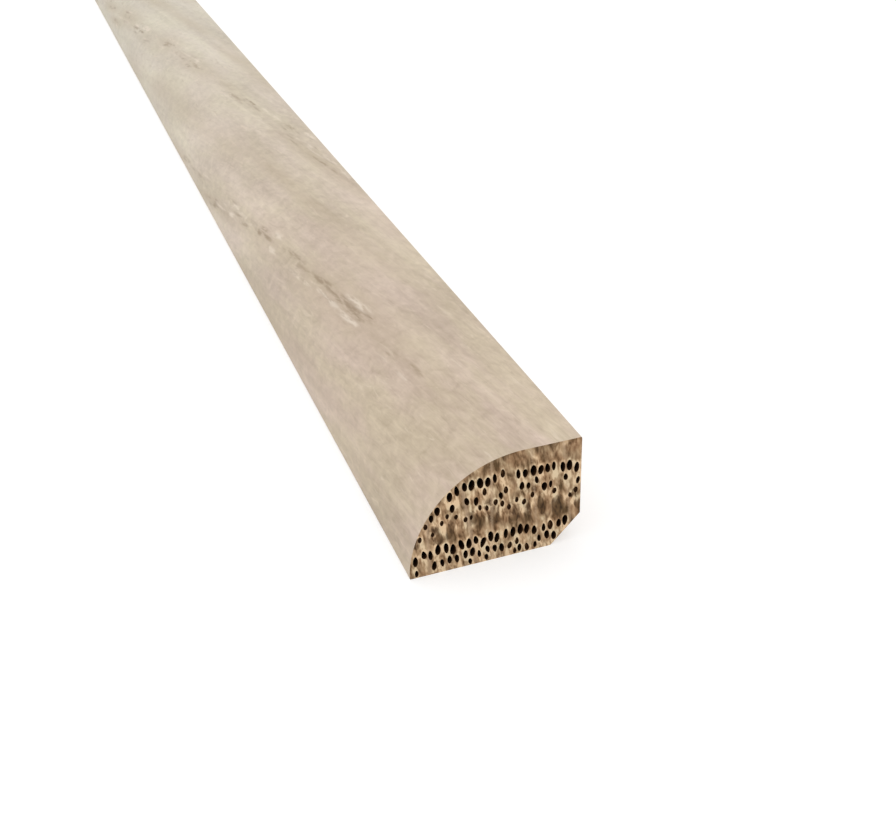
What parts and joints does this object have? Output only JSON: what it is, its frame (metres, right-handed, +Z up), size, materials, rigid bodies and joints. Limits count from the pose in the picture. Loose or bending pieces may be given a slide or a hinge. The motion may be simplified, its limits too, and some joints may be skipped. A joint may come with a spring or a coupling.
{
  "type": "shoe moulding",
  "caption": "Straight stick of oak shoe moulding with a quarter-round nose, level top strip, flat floor and wall faces and a relieved heel; covers the gap between floor and skirting board.",
  "frame": {"origin": "middle of the footprint, on the floor face", "axes": "+Y along the stick, +X from the toe of the nose to the wall face, +Z up from the floor"},
  "size_m": [0.019, 1.9812, 0.0127],
  "materials": {
    "washed_oak": "pale greige wash under a matt clear coat, bare oak on the ends, floor face and wall face"
  },
  "bodies": {
    "root": {"shoe_moulding": "washed_oak"}
  },
  "joints": []
}
